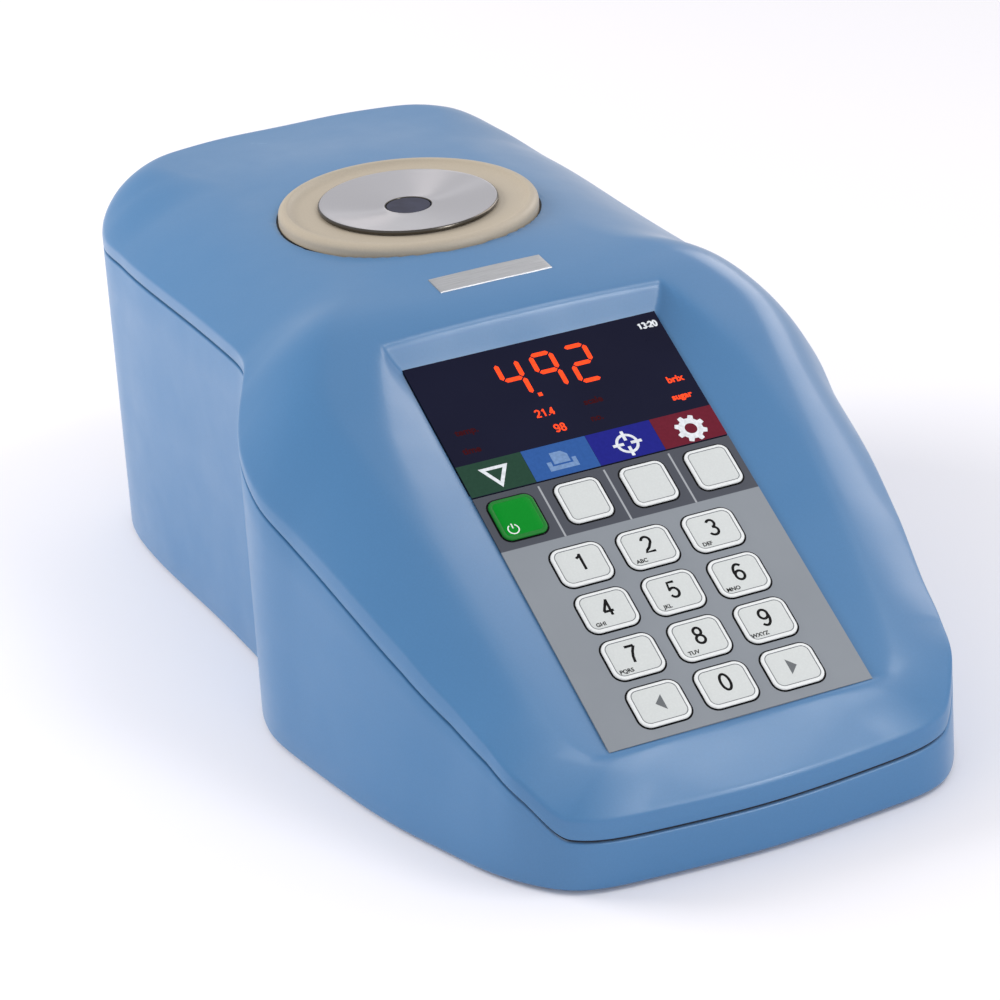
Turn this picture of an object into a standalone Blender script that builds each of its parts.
"""Benchtop digital refractometer: two-part case, sloping keypad hood, sample dish and the optics under it.

All driving sizes are in millimetres; meshes are written in metres. +X is the user's right, +Y the back
and +Z up. The origin is on the table, under the middle of the case.
"""
import math

import bmesh
import bpy
import numpy as np
from mathutils import Matrix, Vector

MM = 0.001

# Clearances and walls
GAP = 0.3                    # between pieces that touch
WALL = 3.0                   # case wall
SEAM_HALF = 0.55             # half the open seam between the two case halves

# Case outline, right half, from the middle of the front edge round to the middle of the back edge.
# x, y: outline at the table; seam: height of the split line; band: upright strip above the split line;
# shoulder: width over which the cover curves up to its roof; lean: inward lean of the wall per mm of height;
# square: 0 for a soft sloping shoulder, 1 for a tight round one.
STATIONS = (
    # x,     y,     seam,  band, shoulder, lean, square
    (0.0, -188.5, 16.8, 7.5, 30.0, 0.06, 0.0),
    (42.5, -186.0, 17.3, 7.5, 30.0, 0.05, 0.0),
    (67.5, -179.6, 19.0, 7.4, 28.0, 0.01, 0.0),
    (78.4, -167.4, 31.0, 6.4, 24.0, 0.01, 0.0),
    (84.9, -155.3, 38.6, 6.8, 24.0, 0.07, 0.0),
    (90.7, -137.8, 45.6, 7.5, 26.0, 0.10, 0.0),
    (97.3, -115.0, 55.4, 8.5, 28.0, 0.10, 0.0),
    (102.7, -85.7, 67.2, 8.2, 26.5, 0.08, 0.0),
    (106.2, -56.7, 77.2, 6.9, 25.5, 0.06, 0.0),
    (107.2, -34.8, 86.5, 5.5, 29.0, 0.02, 0.0),
    (102.8, -16.4, 97.0, 5.3, 36.0, 0.0, 0.0),
    (95.9, -1.3, 107.0, 5.6, 38.0, 0.01, 0.0),
    (90.3, 10.5, 112.0, 5.7, 42.0, 0.015, 0.0),
    (88.8, 24.0, 113.0, 5.7, 44.0, 0.015, 0.0),
    (88.9, 75.0, 113.0, 5.6, 44.0, 0.015, 0.0),
    (88.9, 127.5, 113.0, 5.4, 44.0, 0.015, 0.0),
    (85.2, 152.0, 112.6, 4.9, 34.0, 0.0, 0.3),
    (74.3, 171.6, 113.0, 4.8, 19.5, 0.0, 0.85),
    (53.0, 181.7, 113.0, 4.6, 10.0, 0.0, 1.0),
    (25.7, 187.4, 113.0, 4.5, 9.0, 0.0, 1.0),
    (0.0, 188.5, 113.0, 4.5, 9.0, 0.0, 1.0),
)
SPAN_STEPS = 2               # outline points between two stations
SPINE = (-150.0, 150.0)      # the roof is closed along x = 0 between these y
ROOF_REACH = 0.93            # share of the way to the spine covered by rings

# Roof: a level deck that rolls over into the sloping hood
DECK_Z = 134.8
HOOD_Y = -169.4              # where the hood meets the lower edge of the panel
HOOD_Z = 40.3
HOOD_SLOPE = 30.8            # degrees
HOOD_BOW = 1.7
HOOD_CROWN = 2.0             # rise of the hood's middle over its flanks
CROWN_HALF = 75.0
CROWN_RISE = (-172.0, -110.0)  # y over which the hood's crown starts
CROWN_FADE = (-25.0, 20.0)   # y over which it ends
ROLL = 6.0                   # softness of the roll from deck to hood
DOME, DOME_HALF = 3.0, 62.0  # rise of the deck along its middle and its half width
DOME_START = (-8.0, 26.0)    # y over which the deck's rise starts
DOME_END = (118.0, 178.0)    # y over which it ends

# Panel: keypad and display, in a bevelled recess of the hood
TILT = 29.2                  # degrees from level
PANEL_Y, PANEL_Z = -27.9, 118.5   # middle of the panel's upper edge
PANEL_W, PANEL_L = 95.0, 162.0
END_BEVEL = 38.0             # slope of the recess's upper and lower walls over the panel plane, degrees
# Side walls of the recess. y, climb per mm outward: broad and shallow along the keypad, steep at the top
SIDE_WALLS = ((-176.0, 0.2), (-130.0, 0.25), (-86.0, 0.31), (-53.0, 0.42), (-33.0, 0.85), (-25.0, 1.5),
              (-20.0, 3.5), (-14.0, 4.0))
SIDE_HIGH = 14.0             # height of the side walls' cutter over the recess floor
OVERLAY_T = 0.6
TRAY_T = 2.5
DISPLAY_L = 57.0             # display window, from the upper edge down
DISPLAY_W = 94.6
SCREEN_L = 55.0              # opening under the window; a bar carries the window's lower edge
KEYWAY_HALF = 45.3           # half width of the opening under the keys
KEY_PROUD = 0.7
SOFT_KEY = (16.2, 16.6)
NUMBER_KEY = (18.4, 15.4)
KEY_ROUND = 3.0
SOFT_V = 68.4
NUMBER_V = 92.3
NUMBER_PITCH = 19.16
KEY_PITCH = 24.0

# Sample area
DISH_Y = 66.4
DISH_TOP = 140.0
DISH_R = 32.1
WINDOW_R = 8.1
WELL_DEPTH = 2.2
DISH_UNDER = 120.4
SURROUND_R = 46.2
SURROUND_TOP = 139.8
SURROUND_FLOOR = 138.1
WELL_R = 24.5
FLANGE_R, FLANGE_TOP, FLANGE_UNDER = 50.5, 129.8, 126.5
DECK_HOLE_R = 47.6
SEAL_TOP = 135.6

# Base
CASE_BOTTOM = 1.2
FLOOR_TOP = 4.8
# x, y, top of the lower pillar, length of the post that hangs from the cover
PILLARS = ((-68.0, 118.0, 100.0, 25.6), (68.0, 118.0, 100.0, 25.6),
           (-62.0, -146.0, 27.0, 25.0), (62.0, -146.0, 27.0, 25.0))
FEET = ((-68.0, 145.0), (68.0, 145.0), (-62.0, -128.0), (62.0, -128.0))

# Connectors, on a plate behind an opening in the rear wall
PLATE_Z = 42.0
PLATE_Y = 172.0
PORT_W, PORT_H = 91.0, 32.0
PORT_FACE = 178.4


def clear_scene():
    for item in list(bpy.data.objects):
        bpy.data.objects.remove(item)


def collection(name):
    made = bpy.data.collections.new(name)
    bpy.context.scene.collection.children.link(made)
    return made


clear_scene()
PARTS = collection("refractometer")
CUTTERS = collection("cutters")
MATERIALS = {}


def material(name, colour, roughness, metallic=0.0):
    if name not in MATERIALS:
        made = bpy.data.materials.new(name)
        made.use_nodes = True
        shader = made.node_tree.nodes["Principled BSDF"]
        shader.inputs["Base Color"].default_value = (*colour, 1.0)
        shader.inputs["Roughness"].default_value = roughness
        shader.inputs["Metallic"].default_value = metallic
        MATERIALS[name] = made
    return MATERIALS[name]


CASE_BLUE = material("case_blue", (0.10, 0.24, 0.45), 0.45)
SURROUND_TAN = material("surround_tan", (0.60, 0.50, 0.37), 0.55)
STEEL = material("stainless_steel", (0.62, 0.62, 0.63), 0.25, 1.0)
ALUMINIUM = material("aluminium", (0.72, 0.72, 0.74), 0.4, 1.0)
PRISM_GLASS = material("prism_glass", (0.10, 0.10, 0.16), 0.05)
RUBBER = material("black_rubber", (0.02, 0.02, 0.025), 0.8)
KEY_WHITE = material("key_white", (0.80, 0.80, 0.78), 0.4)
KEY_GREEN = material("key_green", (0.01, 0.30, 0.03), 0.4)
PANEL_GREY = material("panel_grey", (0.28, 0.29, 0.31), 0.5)
SCREEN_BLACK = material("screen_black", (0.01, 0.01, 0.02), 0.1)
BOARD_GREEN = material("board_green", (0.02, 0.16, 0.07), 0.5)
PLASTIC_BLACK = material("plastic_black", (0.03, 0.03, 0.035), 0.5)
MAT_GREY = material("mat_grey", (0.35, 0.35, 0.36), 0.7)
LENS_GLASS = material("lens_glass", (0.75, 0.80, 0.82), 0.05)
MIRROR = material("mirror", (0.85, 0.86, 0.88), 0.05, 1.0)
CERAMIC = material("ceramic", (0.75, 0.75, 0.72), 0.6)


# Small modelling helpers -------------------------------------------------------------------------

def add_mesh(name, mesh, surface=None, guide=False):
    """Puts a mesh in the scene as a part, or as a hidden guide when it only cuts or joins."""
    made = bpy.data.objects.new(name, mesh)
    if guide:
        CUTTERS.objects.link(made)
        made.hide_render = True
        made.display_type = "WIRE"
    else:
        PARTS.objects.link(made)
        mesh.materials.append(surface)
    return made


def from_bmesh(name, bm, surface=None, guide=False):
    """Writes a bmesh in millimetres to an object in metres."""
    bmesh.ops.recalc_face_normals(bm, faces=bm.faces)
    bmesh.ops.scale(bm, vec=(MM, MM, MM), verts=bm.verts)
    mesh = bpy.data.meshes.new(name)
    bm.to_mesh(mesh)
    bm.free()
    return add_mesh(name, mesh, surface, guide)


def block_bmesh(size, centre, corner=0.0, steps=3, edge=0.0):
    """A box whose upright edges are rounded by corner and whose upper edges are rounded by edge."""
    bm = bmesh.new()
    bmesh.ops.create_cube(bm, size=1.0)
    bmesh.ops.scale(bm, vec=size, verts=bm.verts)
    bmesh.ops.translate(bm, vec=centre, verts=bm.verts)
    if corner:
        upright = [e for e in bm.edges if abs((e.verts[0].co - e.verts[1].co).z) > size[2] / 2]
        bmesh.ops.bevel(bm, geom=upright, offset=corner, segments=steps, profile=0.5, affect="EDGES")
    if edge:
        top = max(v.co.z for v in bm.verts)
        rim = [e for e in bm.edges if all(abs(v.co.z - top) < 1e-4 for v in e.verts)]
        bmesh.ops.bevel(bm, geom=rim, offset=edge, segments=2, profile=0.5, affect="EDGES")
    return bm


def block(name, size, centre, surface=None, guide=False, corner=0.0, steps=3, edge=0.0):
    return from_bmesh(name, block_bmesh(size, centre, corner, steps, edge), surface, guide)


def rod(name, radius, length, centre, axis="Z", surface=None, guide=False, sides=24):
    bm = bmesh.new()
    bmesh.ops.create_cone(bm, cap_ends=True, segments=sides, radius1=radius, radius2=radius, depth=length)
    turn = {"Z": Matrix.Identity(3), "X": Matrix.Rotation(math.radians(90), 3, "Y"),
            "Y": Matrix.Rotation(math.radians(90), 3, "X")}[axis]
    bmesh.ops.rotate(bm, cent=(0, 0, 0), matrix=turn, verts=bm.verts)
    bmesh.ops.translate(bm, vec=centre, verts=bm.verts)
    return from_bmesh(name, bm, surface, guide)


def turned(name, profile, centre, surface=None, guide=False, closed=False, sides=40):
    """Spins (radius, height) points, listed down the outer side, round the upright axis at centre."""
    mesh = bpy.data.meshes.new(name)
    count = len(profile)
    edges = [(i, i + 1) for i in range(count - 1)]
    if closed:
        edges.append((count - 1, 0))
    mesh.from_pydata([(r * MM, 0.0, z * MM) for r, z in profile], edges, [])
    made = add_mesh(name, mesh, surface, guide)
    made.location = Vector(centre) * MM
    screw = made.modifiers.new("Screw", "SCREW")
    screw.axis = "Z"
    screw.steps = sides
    screw.render_steps = sides
    screw.use_merge_vertices = True
    screw.merge_threshold = 0.00002
    screw.use_smooth_shade = True
    return made


def boolean(target, other, operation):
    made = target.modifiers.new(operation.title() + "_" + other.name, "BOOLEAN")
    made.operation = operation
    made.object = other
    made.solver = "EXACT"
    return made


def cut(target, *others):
    for other in others:
        boolean(target, other, "DIFFERENCE")


def join(target, *others):
    for other in others:
        boolean(target, other, "UNION")


# Case surface ------------------------------------------------------------------------------------

def closed_spline(points):
    """Cubic spline through points and back to the first, as a function of point index and share."""
    points = np.array(points, float)
    count = len(points)
    steps = np.linalg.norm(np.roll(points, -1, axis=0) - points, axis=1)
    system = np.zeros((count, count))
    right = np.zeros((count, points.shape[1]))
    for i in range(count):
        before, after = steps[i - 1], steps[i]
        system[i, i - 1] += before / 6
        system[i, i] += (before + after) / 3
        system[i, (i + 1) % count] += after / 6
        ahead = (points[(i + 1) % count] - points[i]) / after
        behind = (points[i] - points[i - 1]) / before
        right[i] = ahead - behind
    bend = np.linalg.solve(system, right)

    def at(index, share):
        """The point a share of the way from point index to the next one."""
        h = steps[index]
        nxt = (index + 1) % count
        a, b = 1 - share, share
        curve = ((a ** 3 - a) * bend[index] + (b ** 3 - b) * bend[nxt]) * h * h / 6
        return a * points[index] + b * points[nxt] + curve
    return at


def eased(values, index, share):
    """Value between two stations, level at local highs and lows so that it never overshoots."""
    count = len(values)

    def slope(i):
        left, right = values[i] - values[i - 1], values[(i + 1) % count] - values[i]
        return 0.0 if left * right <= 0 else 2 * left * right / (left + right)
    a, b = values[index], values[(index + 1) % count]
    m0, m1 = slope(index), slope((index + 1) % count)
    t = share
    return ((2 * t ** 3 - 3 * t ** 2 + 1) * a + (t ** 3 - 2 * t ** 2 + t) * m0
            + (3 * t ** 2 - 2 * t ** 3) * b + (t ** 3 - t ** 2) * m1)


def case_outline(span_steps):
    """Rows of x, y, inward normal x, y, seam, band, shoulder, lean, square, counter-clockwise from the front."""
    half = list(STATIONS)
    mirrored = [(-s[0], *s[1:]) for s in reversed(half[1:-1])]
    ring = half + mirrored
    count = len(ring)
    at = closed_spline([(s[0], s[1]) for s in ring])
    columns = [[s[k] for s in ring] for k in range(2, 7)]
    rows = []
    for index in range(count):
        for step in range(span_steps):
            share = step / span_steps
            rows.append([*at(index, share), *[eased(column, index, share) for column in columns]])
    rows = np.array(rows)
    ahead = np.roll(rows[:, :2], -1, axis=0) - np.roll(rows[:, :2], 1, axis=0)
    inward = np.stack([-ahead[:, 1], ahead[:, 0]], axis=1)
    inward /= np.linalg.norm(inward, axis=1)[:, None]
    return np.concatenate([rows[:, :2], inward, rows[:, 2:]], axis=1)


OUTLINE = case_outline(SPAN_STEPS)
SEAM, BAND, SHOULDER, LEAN, SQUARE = (OUTLINE[:, k] for k in range(4, 9))


def wall_ring(height, inset=0.0):
    """The outline at a height (one number or one per point), moved inward by its lean and by inset."""
    height = np.broadcast_to(height, len(OUTLINE))
    move = LEAN * height + inset
    plan = OUTLINE[:, :2] + OUTLINE[:, 2:4] * move[:, None]
    return np.column_stack([plan, height])


def smooth_min(a, b, softness):
    return 0.5 * (a + b - np.sqrt((a - b) ** 2 + softness ** 2))


def step_up(value, start, end):
    """0 before start, 1 after end, eased between."""
    share = np.clip((value - start) / (end - start), 0.0, 1.0)
    return share * share * (3 - 2 * share)


def roof_height(x, y):
    """Deck and hood without their shoulders."""
    rise = math.tan(math.radians(HOOD_SLOPE))
    run = np.clip((y - HOOD_Y) * rise / (DECK_Z - HOOD_Z), 0.0, 1.0)
    hood = HOOD_Z + (y - HOOD_Y) * rise + HOOD_BOW * np.sin(math.pi * run)
    crown = HOOD_CROWN * (1 - (x / CROWN_HALF) ** 2)
    crown = crown * step_up(y, *CROWN_RISE) * (1 - step_up(y, *CROWN_FADE))
    dome = DOME * np.clip(1 - (x / DOME_HALF) ** 2, 0.0, 1.0) ** 2
    dome = dome * step_up(y, *DOME_START) * (1 - step_up(y, *DOME_END))
    return smooth_min(DECK_Z + dome, hood + crown, ROLL)


def roof_ring(share_of_shoulder, share_of_rest, inset=0.0, drop=0.0):
    """One ring of the cover: a share of the shoulder's width in from the crease, then on to the spine."""
    crease = SEAM + BAND - (drop / 2 if drop else 0.0)
    edge = wall_ring(SEAM + BAND, inset)[:, :2]
    spine = np.column_stack([np.zeros(len(edge)), np.clip(edge[:, 1], *SPINE)])
    reach = np.linalg.norm(spine - edge, axis=1)
    inner = np.minimum(SHOULDER * share_of_shoulder / reach, ROOF_REACH)
    travel = inner + (ROOF_REACH - inner) * share_of_rest
    plan = edge + (spine - edge) * travel[:, None]
    part = np.clip(travel * reach / SHOULDER, 0.0, 1.0)
    soft = 1 - (1 - part) ** 2
    profile = (1 - SQUARE) * soft + SQUARE * np.sqrt(soft)
    top = roof_height(plan[:, 0], plan[:, 1]) - drop
    rise = roof_height(edge[:, 0], edge[:, 1]) - drop - crease
    return np.column_stack([plan, top - rise * (1 - profile)])


def skin(bm, rings, cap_first=False, cap_last=False):
    """Quads between successive rings; a cap is laid as strips from side to side."""
    layers = [[bm.verts.new(point) for point in ring] for ring in rings]
    count = len(layers[0])
    for low, high in zip(layers, layers[1:]):
        for i in range(count):
            j = (i + 1) % count
            bm.faces.new((low[i], low[j], high[j], high[i]))
    for wanted, layer in ((cap_first, layers[0]), (cap_last, layers[-1])):
        if wanted:
            half = count // 2
            for i in range(half):
                corners = [layer[i], layer[i + 1], layer[(count - i - 1) % count], layer[(count - i) % count]]
                unique = list(dict.fromkeys(corners))
                bm.faces.new(unique)
    return layers


SHOULDER_SHARES = (0.08, 0.2, 0.36, 0.55, 0.78, 1.0)
ROOF_SHARES = (0.35, 0.7, 1.0)


def cover_rings(inset, drop):
    rings = [roof_ring(share, 0.0, inset, drop) for share in SHOULDER_SHARES]
    rings += [roof_ring(1.0, share, inset, drop) for share in ROOF_SHARES]
    return rings


def upper_case_bmesh():
    bm = bmesh.new()
    outer = [wall_ring(SEAM + SEAM_HALF), wall_ring(SEAM + BAND)] + cover_rings(0.0, 0.0)
    inner = [wall_ring(SEAM + SEAM_HALF, WALL), wall_ring(SEAM + BAND - WALL / 2, WALL)] + cover_rings(WALL, WALL)
    rings = list(reversed(inner)) + outer
    skin(bm, rings, cap_first=True, cap_last=True)
    return bm


def cover_envelope_bmesh(inset):
    """A solid that fills the cover up to a little under its outer surface."""
    bm = bmesh.new()
    rings = [wall_ring(SEAM + SEAM_HALF + inset, inset), wall_ring(SEAM + BAND - inset, inset)]
    skin(bm, rings + cover_rings(inset, inset), cap_first=True, cap_last=True)
    return bm


def lower_case_bmesh():
    bm = bmesh.new()
    outer = [wall_ring(CASE_BOTTOM, 1.5), wall_ring(CASE_BOTTOM + 0.45, 0.45), wall_ring(CASE_BOTTOM + 1.5),
             wall_ring(SEAM - SEAM_HALF)]
    inner = [wall_ring(SEAM - SEAM_HALF, WALL), wall_ring(FLOOR_TOP, WALL)]
    skin(bm, outer + inner, cap_first=True, cap_last=True)
    return bm


def seal_bmesh():
    """The strip that closes the seam, set back from the outer face."""
    bm = bmesh.new()
    low, high = SEAM - SEAM_HALF + GAP, SEAM + SEAM_HALF - GAP
    rings = [wall_ring(low, 0.9), wall_ring(high, 0.9), wall_ring(high, WALL - 0.3), wall_ring(low, WALL - 0.3)]
    layers = skin(bm, rings)
    count = len(layers[0])
    for i in range(count):
        j = (i + 1) % count
        bm.faces.new((layers[3][i], layers[3][j], layers[0][j], layers[0][i]))
    return bm


# Panel frame: local x across, local y up the slope, local z out of the panel ----------------------

def panel_frame():
    made = bpy.data.objects.new("panel_frame", None)
    made.location = (0.0, PANEL_Y * MM, PANEL_Z * MM)
    made.rotation_euler = (math.radians(TILT), 0.0, 0.0)
    PARTS.objects.link(made)
    return made


PANEL = panel_frame()


def on_panel(item, across=0.0, down=0.0, out=0.0):
    """Parents an item to the panel frame at a place measured from the panel's upper edge."""
    item.parent = PANEL
    item.location = (across * MM, -down * MM, out * MM)
    return item


def side_walls(name, grow):
    """The space over the recess floor and between its two side walls, lowered and widened by grow."""
    slope, level = math.tan(math.radians(TILT)), math.cos(math.radians(TILT))
    bm = bmesh.new()
    sections = []
    for y, climb in SIDE_WALLS:
        floor = PANEL_Z + (y - PANEL_Y) * slope - (OVERLAY_T + GAP + grow) / level
        half = PANEL_W / 2 + grow
        wide = half + SIDE_HIGH / climb
        corners = ((-wide, floor + SIDE_HIGH), (-half, floor), (half, floor), (wide, floor + SIDE_HIGH))
        sections.append([bm.verts.new((x, y, z)) for x, z in corners])
    for near, far in zip(sections, sections[1:]):
        for i in range(4):
            j = (i + 1) % 4
            bm.faces.new((near[i], near[j], far[j], far[i]))
    bm.faces.new(sections[0])
    bm.faces.new(sections[-1])
    bmesh.ops.triangulate(bm, faces=bm.faces)
    return from_bmesh(name, bm, guide=True)


def end_walls(name, low, high, grow):
    """The space over the recess floor and between its upper and lower walls, grow larger all round."""
    bm = bmesh.new()
    corners = []
    for out in (low, high):
        end = grow + max(out + OVERLAY_T + GAP, 0.0) / math.tan(math.radians(END_BEVEL))
        for x, y in ((-PANEL_W, -PANEL_L - end), (PANEL_W, -PANEL_L - end), (PANEL_W, end), (-PANEL_W, end)):
            corners.append(bm.verts.new((x, y, out)))
    for face in ((0, 3, 2, 1), (4, 5, 6, 7), (0, 1, 5, 4), (1, 2, 6, 5), (2, 3, 7, 6), (3, 0, 4, 7)):
        bm.faces.new([corners[i] for i in face])
    return on_panel(from_bmesh(name, bm, guide=True))


def recess(name, grow):
    """The space the panel's recess takes out of the cover."""
    space = side_walls(name, grow)
    boolean(space, end_walls(name + "_ends", -OVERLAY_T - GAP - grow - 1.0, 40.0, grow), "INTERSECT")
    return space


# Case --------------------------------------------------------------------------------------------

def build_lower_case():
    case = from_bmesh("lower_case", lower_case_bmesh(), CASE_BLUE)
    for index, (x, y, top, _) in enumerate(PILLARS):
        height = top - FLOOR_TOP + 1.0
        join(case, rod(f"pillar_{index}", 5.0, height, (x, y, FLOOR_TOP - 1.0 + height / 2), guide=True, sides=16))
    for index, (x, y, top, _) in enumerate(PILLARS):
        bore = rod(f"pillar_bore_{index}", 2.3, top + 10.0, (x, y, top / 2), guide=True, sides=12)
        seat = rod(f"screw_seat_{index}", 4.2, 7.0, (x, y, 2.0), guide=True, sides=16)
        cut(case, bore, seat)
    for index, (x, y) in enumerate(FEET):
        cut(case, rod(f"foot_hole_{index}", 2.9, 8.0, (x, y, 4.0), guide=True, sides=16))
    cut(case, block("port_opening", (PORT_W, 30.0, PORT_H), (0.0, 186.0, PLATE_Z), guide=True))
    return case


def build_upper_case():
    case = from_bmesh("upper_case", upper_case_bmesh(), CASE_BLUE)
    tray = recess("tray", TRAY_T)
    boolean(tray, from_bmesh("cover_envelope", cover_envelope_bmesh(1.4), guide=True), "INTERSECT")
    join(case, tray)
    for index, (x, y, top, reach) in enumerate(PILLARS):
        post = rod(f"post_{index}", 5.0, reach, (x, y, top + GAP + reach / 2), guide=True, sides=16)
        join(case, post)
    cut(case, recess("recess", 0.0))
    display = block("display_opening", (DISPLAY_W, SCREEN_L, 12.0), (0.0, -SCREEN_L / 2 - 0.2, 0.0), guide=True)
    keys_top, keys_end = DISPLAY_L + 2.2, PANEL_L - 1.6
    keyway = block("keyway", (2 * KEYWAY_HALF, keys_end - keys_top, 12.0),
                   (0.0, -(keys_top + keys_end) / 2, 0.0), guide=True)
    cut(case, on_panel(display), on_panel(keyway))
    cut(case, rod("deck_hole", DECK_HOLE_R, 30.0, (0.0, DISH_Y, DECK_Z), guide=True, sides=48))
    for index, (x, y, top, _) in enumerate(PILLARS):
        cut(case, rod(f"post_bore_{index}", 2.2, 14.0, (x, y, top + 3.0), guide=True, sides=12))
    return case


def build_fasteners_and_feet():
    for index, (x, y, top, _) in enumerate(PILLARS):
        tip = top + 8.0
        profile = [(0.0, tip), (1.9, tip), (1.9, 5.2), (3.7, 5.2), (3.7, 3.2), (0.0, 3.2)]
        turned(f"case_screw_{index + 1}", profile, (x, y, 0.0), STEEL, sides=16)
    for index, (x, y) in enumerate(FEET):
        profile = [(0.0, 5.0), (2.5, 5.0), (2.5, 0.9), (8.0, 0.9), (8.4, 0.6), (8.0, 0.0), (0.0, 0.0)]
        turned(f"foot_{index + 1}", profile, (x, y, 0.0), RUBBER, sides=20)


# Panel -------------------------------------------------------------------------------------------

def key_places():
    """Name, across, down, size and material of each key."""
    places = [("key_power", -1.5 * KEY_PITCH, SOFT_V, SOFT_KEY, KEY_GREEN)]
    for index, column in enumerate((-0.5, 0.5, 1.5)):
        places.append((f"key_soft_{index + 1}", column * KEY_PITCH, SOFT_V, SOFT_KEY, KEY_WHITE))
    rows = (("1", "2", "3"), ("4", "5", "6"), ("7", "8", "9"), ("left", "0", "right"))
    for line, row in enumerate(rows):
        for column, label in enumerate(row):
            down = NUMBER_V + line * NUMBER_PITCH
            places.append((f"key_{label}", (column - 1) * KEY_PITCH, down, NUMBER_KEY, KEY_WHITE))
    return places


def build_panel():
    overlay_l = PANEL_L - DISPLAY_L - GAP - 0.3
    overlay = block("panel_overlay", (PANEL_W - 0.6, overlay_l, OVERLAY_T), (0, 0, 0), PANEL_GREY)
    middle = DISPLAY_L + GAP + overlay_l / 2
    on_panel(overlay, 0.0, middle, -OVERLAY_T / 2)
    for name, across, down, (wide, tall), surface in key_places():
        hole = block(f"hole_{name}", (wide + 0.7, tall + 0.7, 4.0), (0, 0, 0), guide=True,
                     corner=KEY_ROUND + 0.3)
        cut(overlay, on_panel(hole, across, down))
        key = block(name, (wide, tall, KEY_PROUD + 1.6), (0, 0, (KEY_PROUD - 1.6) / 2), surface,
                    corner=KEY_ROUND, edge=0.35)
        flange = block(f"flange_{name}", (wide + 1.1, tall + 1.1, 1.2), (0, 0, -1.6), guide=True,
                       corner=KEY_ROUND)
        on_panel(flange, across, down)
        join(on_panel(key, across, down), flange)
    window = block("display_window", (DISPLAY_W - 0.4, DISPLAY_L - 0.3, OVERLAY_T), (0, 0, 0), SCREEN_BLACK)
    on_panel(window, 0.0, DISPLAY_L / 2 + 0.05, -OVERLAY_T / 2)
    module = block("display_module", (100.0, 61.0, 3.4), (0.0, 0.0, -5.4), PLASTIC_BLACK)
    screen = block("screen_face", (DISPLAY_W - 0.8, SCREEN_L - 0.8, 4.0), (0.0, 0.8, -2.9), guide=True)
    on_panel(screen, 0.0, DISPLAY_L / 2)
    join(on_panel(module, 0.0, DISPLAY_L / 2), screen)
    mat_l = PANEL_L - DISPLAY_L - 7.0
    mat_v = DISPLAY_L + 4.0 + mat_l / 2
    mat = block("key_mat", (2 * KEYWAY_HALF + 2.0, mat_l, 1.0), (0, 0, 0), MAT_GREY)
    on_panel(mat, 0.0, mat_v, -4.3)
    board = block("keypad_board", (2 * KEYWAY_HALF + 2.0, mat_l, 1.6), (0, 0, 0), BOARD_GREEN)
    on_panel(board, 0.0, mat_v, -5.9)


# Sample area -------------------------------------------------------------------------------------

def build_sample_area():
    centre = (0.0, DISH_Y, 0.0)
    top = SURROUND_TOP
    ring = [(SURROUND_R - 2.2, top), (SURROUND_R - 0.9, top - 0.5), (SURROUND_R - 0.2, top - 1.5),
            (SURROUND_R, top - 3.0), (SURROUND_R, FLANGE_TOP), (FLANGE_R, FLANGE_TOP), (FLANGE_R, FLANGE_UNDER),
            (WELL_R, FLANGE_UNDER), (WELL_R, SURROUND_FLOOR), (SURROUND_R - 7.2, SURROUND_FLOOR),
            (SURROUND_R - 4.2, SURROUND_FLOOR + 0.6), (SURROUND_R - 3.3, top - 0.2)]
    turned("prism_surround", ring, centre, SURROUND_TAN, closed=True)
    seal = [(SURROUND_R + GAP, SEAL_TOP), (DECK_HOLE_R - GAP, SEAL_TOP), (DECK_HOLE_R - GAP, FLANGE_TOP + GAP),
            (SURROUND_R + GAP, FLANGE_TOP + GAP)]
    turned("surround_seal", seal, centre, RUBBER, closed=True)
    floor = DISH_TOP - WELL_DEPTH
    dish = [(DISH_R - 1.4, DISH_TOP), (DISH_R - 0.3, DISH_TOP - 0.25), (DISH_R, DISH_TOP - 0.8),
            (DISH_R - 0.2, SURROUND_FLOOR + GAP), (WELL_R - GAP, SURROUND_FLOOR + GAP), (WELL_R - GAP, DISH_UNDER),
            (WINDOW_R + 1.5, DISH_UNDER), (WINDOW_R, DISH_UNDER + 1.6),
            (WINDOW_R, floor), (DISH_R - 2.2, DISH_TOP - 0.35)]
    turned("sample_dish", dish, centre, STEEL, closed=True)
    block("prism_housing", (60.0, 56.0, 16.4), (0.0, DISH_Y, 111.8), ALUMINIUM, corner=3.0)
    pocket = block("prism_pocket", (62.0, 20.0, 12.0), (0.0, DISH_Y, 114.2), guide=True)
    cut(bpy.data.objects["prism_housing"], pocket)
    prism = rod("prism", WINDOW_R - GAP, 20.0, (0.0, DISH_Y, floor - 10.1), surface=PRISM_GLASS, sides=32)
    bm = bmesh.new()
    section = ((-15.0, 120.0), (-9.0, 109.0), (9.0, 109.0), (15.0, 120.0))
    near = [bm.verts.new((x, DISH_Y - 8.0, z)) for x, z in section]
    face = bm.faces.new(near)
    grown = bmesh.ops.extrude_face_region(bm, geom=[face])
    moved = [v for v in grown["geom"] if isinstance(v, bmesh.types.BMVert)]
    bmesh.ops.translate(bm, vec=(0.0, 16.0, 0.0), verts=moved)
    join(prism, from_bmesh("prism_wedge", bm, guide=True))


# Optics ------------------------------------------------------------------------------------------

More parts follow.
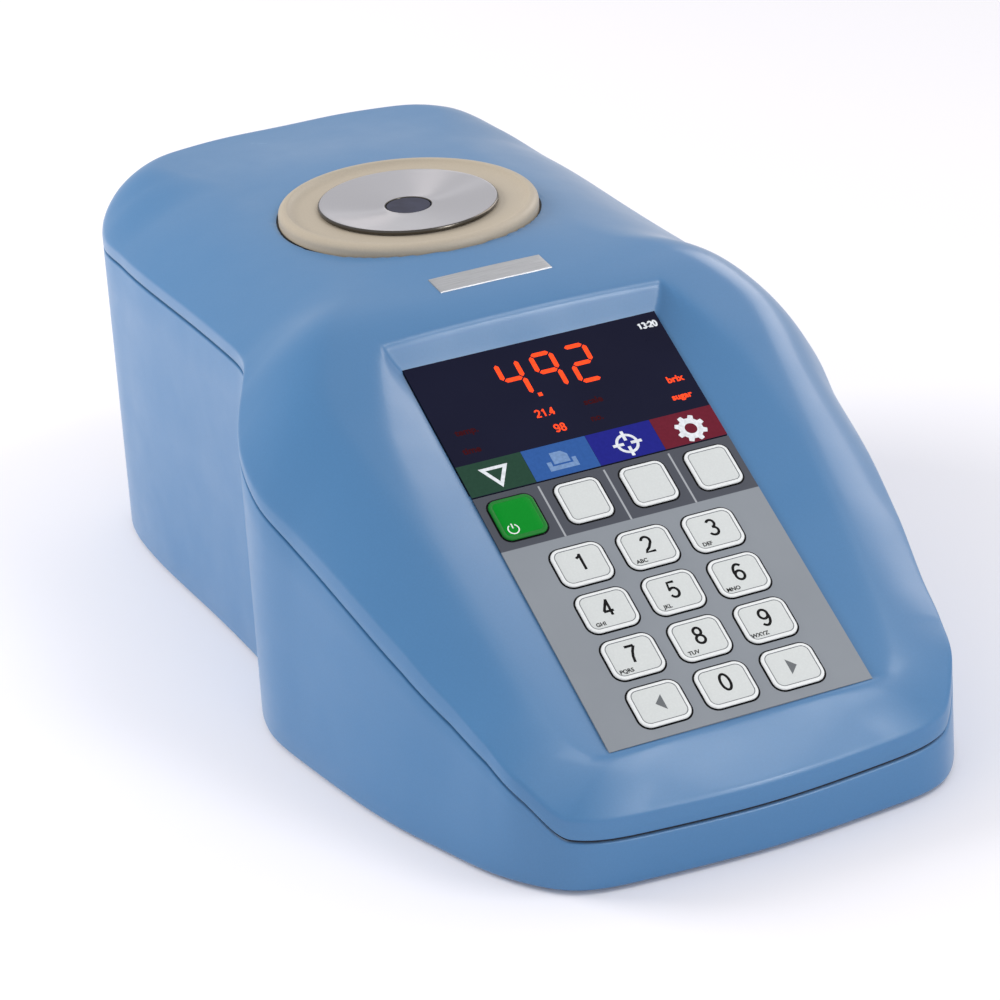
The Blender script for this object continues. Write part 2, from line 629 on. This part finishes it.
def build_optics():
    bench_top, bench_t = 103.2, 5.0
    bench = block("optical_bench", (156.0, 76.0, bench_t), (0.0, DISH_Y, bench_top - bench_t / 2), ALUMINIUM,
                  corner=4.0)
    cut(bench, block("cooler_opening", (46.0, 46.0, 12.0), (0.0, DISH_Y, bench_top), guide=True))
    for index, (x, y) in enumerate(((-71.5, -30.0), (71.5, -30.0), (-71.5, 30.0), (71.5, 30.0))):
        length = bench_top - bench_t - FLOOR_TOP - 2 * GAP
        rod(f"bench_post_{index + 1}", 5.0, length, (x, DISH_Y + y, FLOOR_TOP + GAP + length / 2),
            surface=ALUMINIUM, sides=16)
    block("cooler_module", (40.0, 40.0, 3.8), (0.0, DISH_Y, 101.4), CERAMIC)
    fins = block("heat_sink", (44.0, 44.0, 5.0), (0.0, DISH_Y, 96.7), ALUMINIUM)
    for index in range(7):
        fin = block(f"fin_{index}", (2.0, 44.0, 30.0), (-19.5 + 6.5 * index, DISH_Y, 80.5), guide=True)
        join(fins, fin)
    beam = 113.0
    source = block("light_source", (22.0, 20.0, 17.0), (-62.0, DISH_Y, bench_top + GAP + 8.5), PLASTIC_BLACK)
    join(source, rod("source_nose", 7.0, 12.0, (-47.0, DISH_Y, beam), axis="X", guide=True))
    rod("source_lens", 5.5, 3.0, (-39.2, DISH_Y, beam), axis="X", surface=LENS_GLASS)
    barrel = rod("lens_barrel", 8.0, 14.0, (38.6, DISH_Y, beam), axis="X", surface=PLASTIC_BLACK)
    foot = block("barrel_foot", (12.0, 12.0, 9.0), (38.6, DISH_Y, bench_top + GAP + 4.5), guide=True)
    join(barrel, foot)
    cut(barrel, rod("barrel_bore", 6.0, 24.0, (38.6, DISH_Y, beam), axis="X", guide=True))
    rod("imaging_lens", 5.6, 4.0, (38.6, DISH_Y, beam), axis="X", surface=LENS_GLASS)
    mirror_block = block("mirror_mount", (16.0, 16.0, 15.5), (64.0, DISH_Y, bench_top + GAP + 7.75), PLASTIC_BLACK)
    slope = block("mirror_slope", (40.0, 22.0, 40.0), (0.0, 0.0, 20.0), guide=True)
    slope.location = (0.0632, DISH_Y * MM, 0.1125)
    slope.rotation_euler = (0.0, math.radians(-45), 0.0)
    cut(mirror_block, slope)
    mirror = block("fold_mirror", (14.0, 13.0, 1.6), (0.0, 0.0, 1.1), MIRROR)
    mirror.location = slope.location
    mirror.rotation_euler = slope.rotation_euler
    board_z = 121.4
    sensor = block("sensor_board", (26.0, 38.0, 1.6), (60.0, DISH_Y, board_z), BOARD_GREEN)
    join(sensor, block("sensor_chip", (8.0, 24.0, 2.4), (62.0, DISH_Y, board_z - 1.4), guide=True))
    leg_l = board_z - bench_top - GAP
    for index, y in enumerate((-15.5, 15.5)):
        leg_z = bench_top + GAP + leg_l / 2
        join(sensor, rod(f"sensor_leg_{index}", 2.2, leg_l, (60.0, DISH_Y + y, leg_z), guide=True, sides=12))


# Electronics and connectors ----------------------------------------------------------------------

def build_electronics():
    board = block("main_board", (124.0, 92.0, 1.6), (0.0, 102.0, 14.0), BOARD_GREEN)
    chips = ((-40.0, 90.0, 18.0, 18.0, 2.4), (-10.0, 90.0, 14.0, 14.0, 2.0), (20.0, 84.0, 22.0, 10.0, 3.0),
             (45.0, 100.0, 12.0, 12.0, 10.0), (-45.0, 122.0, 20.0, 12.0, 8.0))
    for index, (x, y, wide, deep, tall) in enumerate(chips):
        join(board, block(f"chip_{index}", (wide, deep, tall + 0.8), (x, y, 14.4 + tall / 2), guide=True))
    for index, (x, y) in enumerate(((-56.0, 62.0), (56.0, 62.0), (-56.0, 142.0), (56.0, 142.0))):
        leg_l = 14.0 - FLOOR_TOP - GAP
        leg = rod(f"board_leg_{index}", 3.0, leg_l, (x, y, 14.0 - leg_l / 2), guide=True, sides=12)
        join(board, leg)
    face = PORT_FACE
    plate = block("connector_plate", (PORT_W + 14.0, 2.0, PORT_H + 12.0), (0.0, PLATE_Y, PLATE_Z), ALUMINIUM)
    boss = block("plate_boss", (PORT_W - 1.0, face - PLATE_Y, PORT_H - 1.0),
                 (0.0, (face + PLATE_Y) / 2, PLATE_Z), guide=True)
    join(plate, boss)
    inlet_x, serial_x, usb_x = -30.0, 2.0, 32.0
    cut(plate, rod("inlet_hole", 6.3, 30.0, (inlet_x, PLATE_Y, PLATE_Z), axis="Y", guide=True),
        block("serial_hole", (20.4, 30.0, 11.4), (serial_x, PLATE_Y, PLATE_Z), guide=True),
        block("usb_hole", (13.4, 30.0, 12.4), (usb_x, PLATE_Y, PLATE_Z), guide=True))
    inlet = rod("power_inlet", 6.0, 20.0, (inlet_x, face - 9.0, PLATE_Z), axis="Y", surface=PLASTIC_BLACK)
    cut(inlet, rod("inlet_bore", 3.6, 12.0, (inlet_x, face - 2.0, PLATE_Z), axis="Y", guide=True))
    join(inlet, rod("inlet_pin", 0.9, 10.0, (inlet_x, face - 5.4, PLATE_Z), axis="Y", guide=True, sides=12))
    serial = block("serial_port", (19.8, 20.0, 10.8), (serial_x, face - 9.0, PLATE_Z), STEEL)
    cut(serial, block("serial_mouth", (17.4, 12.0, 8.4), (serial_x, face - 3.0 + 2.0, PLATE_Z), guide=True))
    usb = block("usb_port", (12.8, 20.0, 11.8), (usb_x, face - 9.0, PLATE_Z), STEEL)
    cut(usb, block("usb_mouth", (8.6, 12.0, 7.8), (usb_x, face - 1.0, PLATE_Z), guide=True))


def build():
    build_lower_case()
    build_upper_case()
    from_bmesh("case_seal", seal_bmesh(), RUBBER)
    build_fasteners_and_feet()
    build_panel()
    build_sample_area()
    build_optics()
    build_electronics()


build()
